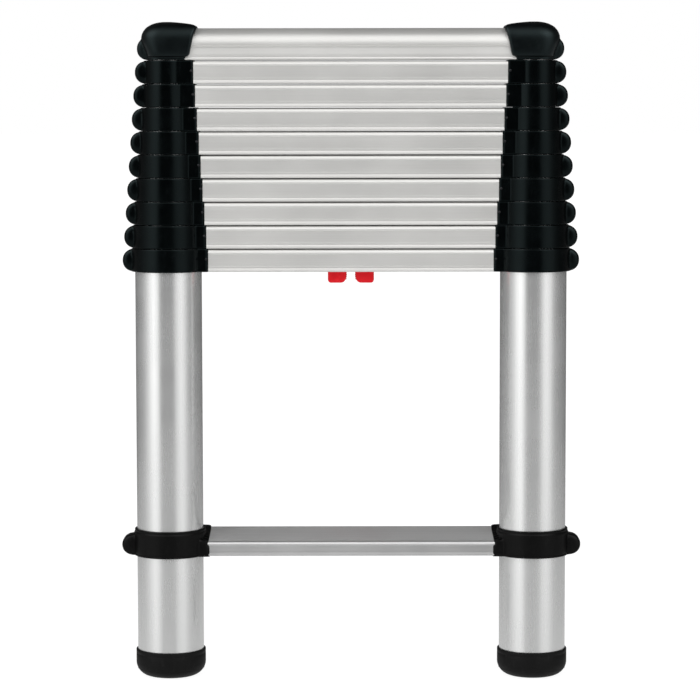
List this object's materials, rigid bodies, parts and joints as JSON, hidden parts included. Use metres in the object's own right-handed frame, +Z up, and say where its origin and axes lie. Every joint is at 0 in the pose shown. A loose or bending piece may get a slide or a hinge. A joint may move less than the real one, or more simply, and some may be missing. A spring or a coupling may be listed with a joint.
{
  "type": "telescoping ladder",
  "caption": "Collapsed telescoping ladder with round aluminium stiles, plastic rung collars, a domed hand rung, red release buttons and rubber feet.",
  "frame": {"origin": "on the floor, midway between the two feet, in the plane of the tube axes", "axes": "+X along the rungs towards the ladder's right stile, +Y from the user towards the wall, +Z up along the tubes"},
  "size_m": [0.4854, 0.0778, 0.6908],
  "materials": {
    "tube": "satin, lightly brushed along the tube",
    "rung": "satin extrusion with fine lengthwise ridges on the tread",
    "collar": "black moulded nylon, fine texture with a soft sheen",
    "foot": "black moulded rubber",
    "button": "red moulded plastic",
    "steel": "ground steel"
  },
  "bodies": {
    "base": {"base_tube_left": "tube", "base_tube_right": "tube", "base_rung": "rung", "base_collar_left": "collar", "base_collar_right": "collar", "bottom_rung": "rung", "bottom_collar_left": "collar", "bottom_collar_right": "collar", "foot_left": "foot", "foot_right": "foot", "release_spring": "steel"},
    "section2": {"section2_tube_left": "tube", "section2_tube_right": "tube", "section2_rung": "rung", "section2_collar_left": "collar", "section2_collar_right": "collar"},
    "section3": {"section3_tube_left": "tube", "section3_tube_right": "tube", "section3_rung": "rung", "section3_collar_left": "collar", "section3_collar_right": "collar"},
    "section4": {"section4_tube_left": "tube", "section4_tube_right": "tube", "section4_rung": "rung", "section4_collar_left": "collar", "section4_collar_right": "collar"},
    "section5": {"section5_tube_left": "tube", "section5_tube_right": "tube", "section5_rung": "rung", "section5_collar_left": "collar", "section5_collar_right": "collar"},
    "section6": {"section6_tube_left": "tube", "section6_tube_right": "tube", "section6_rung": "rung", "section6_collar_left": "collar", "section6_collar_right": "collar"},
    "section7": {"section7_tube_left": "tube", "section7_tube_right": "tube", "section7_rung": "rung", "section7_collar_left": "collar", "section7_collar_right": "collar"},
    "section8": {"section8_tube_left": "tube", "section8_tube_right": "tube", "section8_rung": "rung", "section8_collar_left": "collar", "section8_collar_right": "collar"},
    "section9": {"section9_tube_left": "tube", "section9_tube_right": "tube", "section9_rung": "rung", "section9_collar_left": "collar", "section9_collar_right": "collar"},
    "top": {"top_tube_left": "tube", "top_tube_right": "tube", "top_rung": "rung", "top_cap_left": "collar", "top_cap_right": "collar"},
    "release_left": {"lock_pin_left": "steel", "release_button_left": "button"},
    "release_right": {"lock_pin_right": "steel", "release_button_right": "button"}
  },
  "joints": [
    {"name": "section2_slide", "type": "slide", "parent": "base", "child": "section2", "axis": [0, 0, 1], "range_m": [0, 0.2755]},
    {"name": "section3_slide", "type": "slide", "parent": "section2", "child": "section3", "axis": [0, 0, 1], "range_m": [0, 0.2755]},
    {"name": "section4_slide", "type": "slide", "parent": "section3", "child": "section4", "axis": [0, 0, 1], "range_m": [0, 0.2755]},
    {"name": "section5_slide", "type": "slide", "parent": "section4", "child": "section5", "axis": [0, 0, 1], "range_m": [0, 0.2755]},
    {"name": "section6_slide", "type": "slide", "parent": "section5", "child": "section6", "axis": [0, 0, 1], "range_m": [0, 0.2755]},
    {"name": "section7_slide", "type": "slide", "parent": "section6", "child": "section7", "axis": [0, 0, 1], "range_m": [0, 0.2755]},
    {"name": "section8_slide", "type": "slide", "parent": "section7", "child": "section8", "axis": [0, 0, 1], "range_m": [0, 0.2755]},
    {"name": "section9_slide", "type": "slide", "parent": "section8", "child": "section9", "axis": [0, 0, 1], "range_m": [0, 0.2755]},
    {"name": "top_slide", "type": "slide", "parent": "section9", "child": "top", "axis": [0, 0, 1], "range_m": [0, 0.2755]},
    {"name": "release_left_slide", "type": "slide", "parent": "base", "child": "release_left", "axis": [1, 0, 0], "range_m": [0, 0.004], "stiffness_N_per_m": 800},
    {"name": "release_right_slide", "type": "slide", "parent": "base", "child": "release_right", "axis": [-1, 0, 0], "range_m": [0, 0.004], "stiffness_N_per_m": 800}
  ]
}
